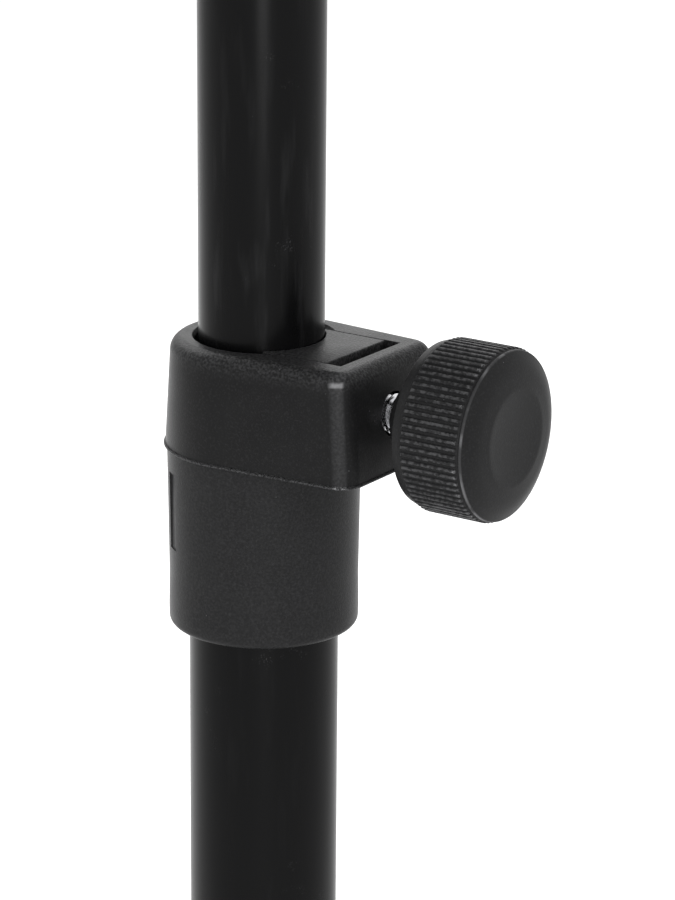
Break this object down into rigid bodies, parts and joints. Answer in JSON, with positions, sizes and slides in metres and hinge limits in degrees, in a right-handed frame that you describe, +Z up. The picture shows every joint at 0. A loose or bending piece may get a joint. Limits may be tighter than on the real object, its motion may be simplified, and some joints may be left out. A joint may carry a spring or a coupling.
{
  "type": "music stand",
  "caption": "Height-adjustable music stand: folding tripod, telescopic pole with a side screw clamp, and a tilting sheet-metal desk with a lipped shelf.",
  "frame": {"origin": "on the floor, under the middle of the stand's overall box", "axes": "+Z up, the musician stands at -Y and faces +Y, and the clamp's knob points to +X"},
  "size_m": [0.5498, 0.4804, 1.2351],
  "materials": {
    "tube_paint": "satin black powder coat on steel tube",
    "sheet_paint": "fine-textured matt black powder coat on sheet steel",
    "black_moulding": "moulded black nylon with a fine speckle",
    "knob_plastic": "moulded black plastic, knurled rim",
    "foot_rubber": "matt black rubber",
    "bright_zinc": "bright zinc plating",
    "dark_zinc": "black zinc plating"
  },
  "bodies": {
    "base": {"base_hub": "black_moulding", "lower_tube": "tube_paint", "clamp_collar": "black_moulding", "clamp_nut": "bright_zinc", "leg_bolt_1": "dark_zinc", "leg_bolt_2": "dark_zinc", "leg_bolt_3": "dark_zinc", "leg_nut_1": "dark_zinc", "leg_nut_2": "dark_zinc", "leg_nut_3": "dark_zinc"},
    "upper_pole": {"upper_tube": "tube_paint", "glide_plug": "black_moulding", "tilt_head": "black_moulding"},
    "pressure_block": {"pressure_block": "black_moulding"},
    "clamp_screw": {"clamp_screw": "bright_zinc", "clamp_knob": "knob_plastic"},
    "desk": {"desk_bracket": "sheet_paint", "backing_plate": "sheet_paint", "desk_panel": "sheet_paint", "music_shelf": "sheet_paint", "plate_rivet_1": "sheet_paint", "plate_rivet_2": "sheet_paint", "plate_rivet_3": "sheet_paint", "plate_rivet_4": "sheet_paint", "shelf_rivet_1": "sheet_paint", "shelf_rivet_2": "sheet_paint", "shelf_rivet_3": "sheet_paint", "shelf_rivet_4": "sheet_paint", "shelf_rivet_5": "sheet_paint", "tilt_bolt": "dark_zinc", "tilt_washer": "bright_zinc"},
    "tilt_knob": {"tilt_knob": "knob_plastic"},
    "leg_1": {"leg_knuckle_1": "black_moulding", "leg_tube_1": "tube_paint", "foot_1": "foot_rubber"},
    "leg_2": {"leg_knuckle_2": "black_moulding", "leg_tube_2": "tube_paint", "foot_2": "foot_rubber"},
    "leg_3": {"leg_knuckle_3": "black_moulding", "leg_tube_3": "tube_paint", "foot_3": "foot_rubber"}
  },
  "joints": [
    {"name": "height_slide", "type": "slide", "parent": "base", "child": "upper_pole", "axis": [0, 0, 1], "range_m": [-0.265, 0.19]},
    {"name": "clamp_block_slide", "type": "slide", "parent": "base", "child": "pressure_block", "axis": [1, 0, 0], "range_m": [0, 0.00187]},
    {"name": "clamp_knob_turn", "type": "hinge", "parent": "pressure_block", "child": "clamp_screw", "pos_m": [0, -0.075, 0.651], "axis": [1, 0, 0], "range_deg": [0, 541]},
    {"name": "desk_tilt", "type": "hinge", "parent": "upper_pole", "child": "desk", "pos_m": [-0.0007, -0.075, 1.014], "axis": [1, 0, 0], "range_deg": [-68, 22]},
    {"name": "tilt_knob_turn", "type": "hinge", "parent": "desk", "child": "tilt_knob", "pos_m": [-0.0007, -0.075, 1.014], "axis": [1, 0, 0], "range_deg": [0, 540]},
    {"name": "leg_1_fold", "type": "hinge", "parent": "base", "child": "leg_1", "pos_m": [0, -0.039, 0.085], "axis": [-1, 0, 0], "range_deg": [0, 75]},
    {"name": "leg_2_fold", "type": "hinge", "parent": "base", "child": "leg_2", "pos_m": [-0.03118, -0.093, 0.085], "axis": [0.5, -0.866, 0], "range_deg": [0, 75]},
    {"name": "leg_3_fold", "type": "hinge", "parent": "base", "child": "leg_3", "pos_m": [0.03118, -0.093, 0.085], "axis": [0.5, 0.866, 0], "range_deg": [0, 75]}
  ],
  "couplings": [
    {"joint": "clamp_knob_turn", "follows": "clamp_block_slide", "rad_per_m": 5026.5}
  ]
}
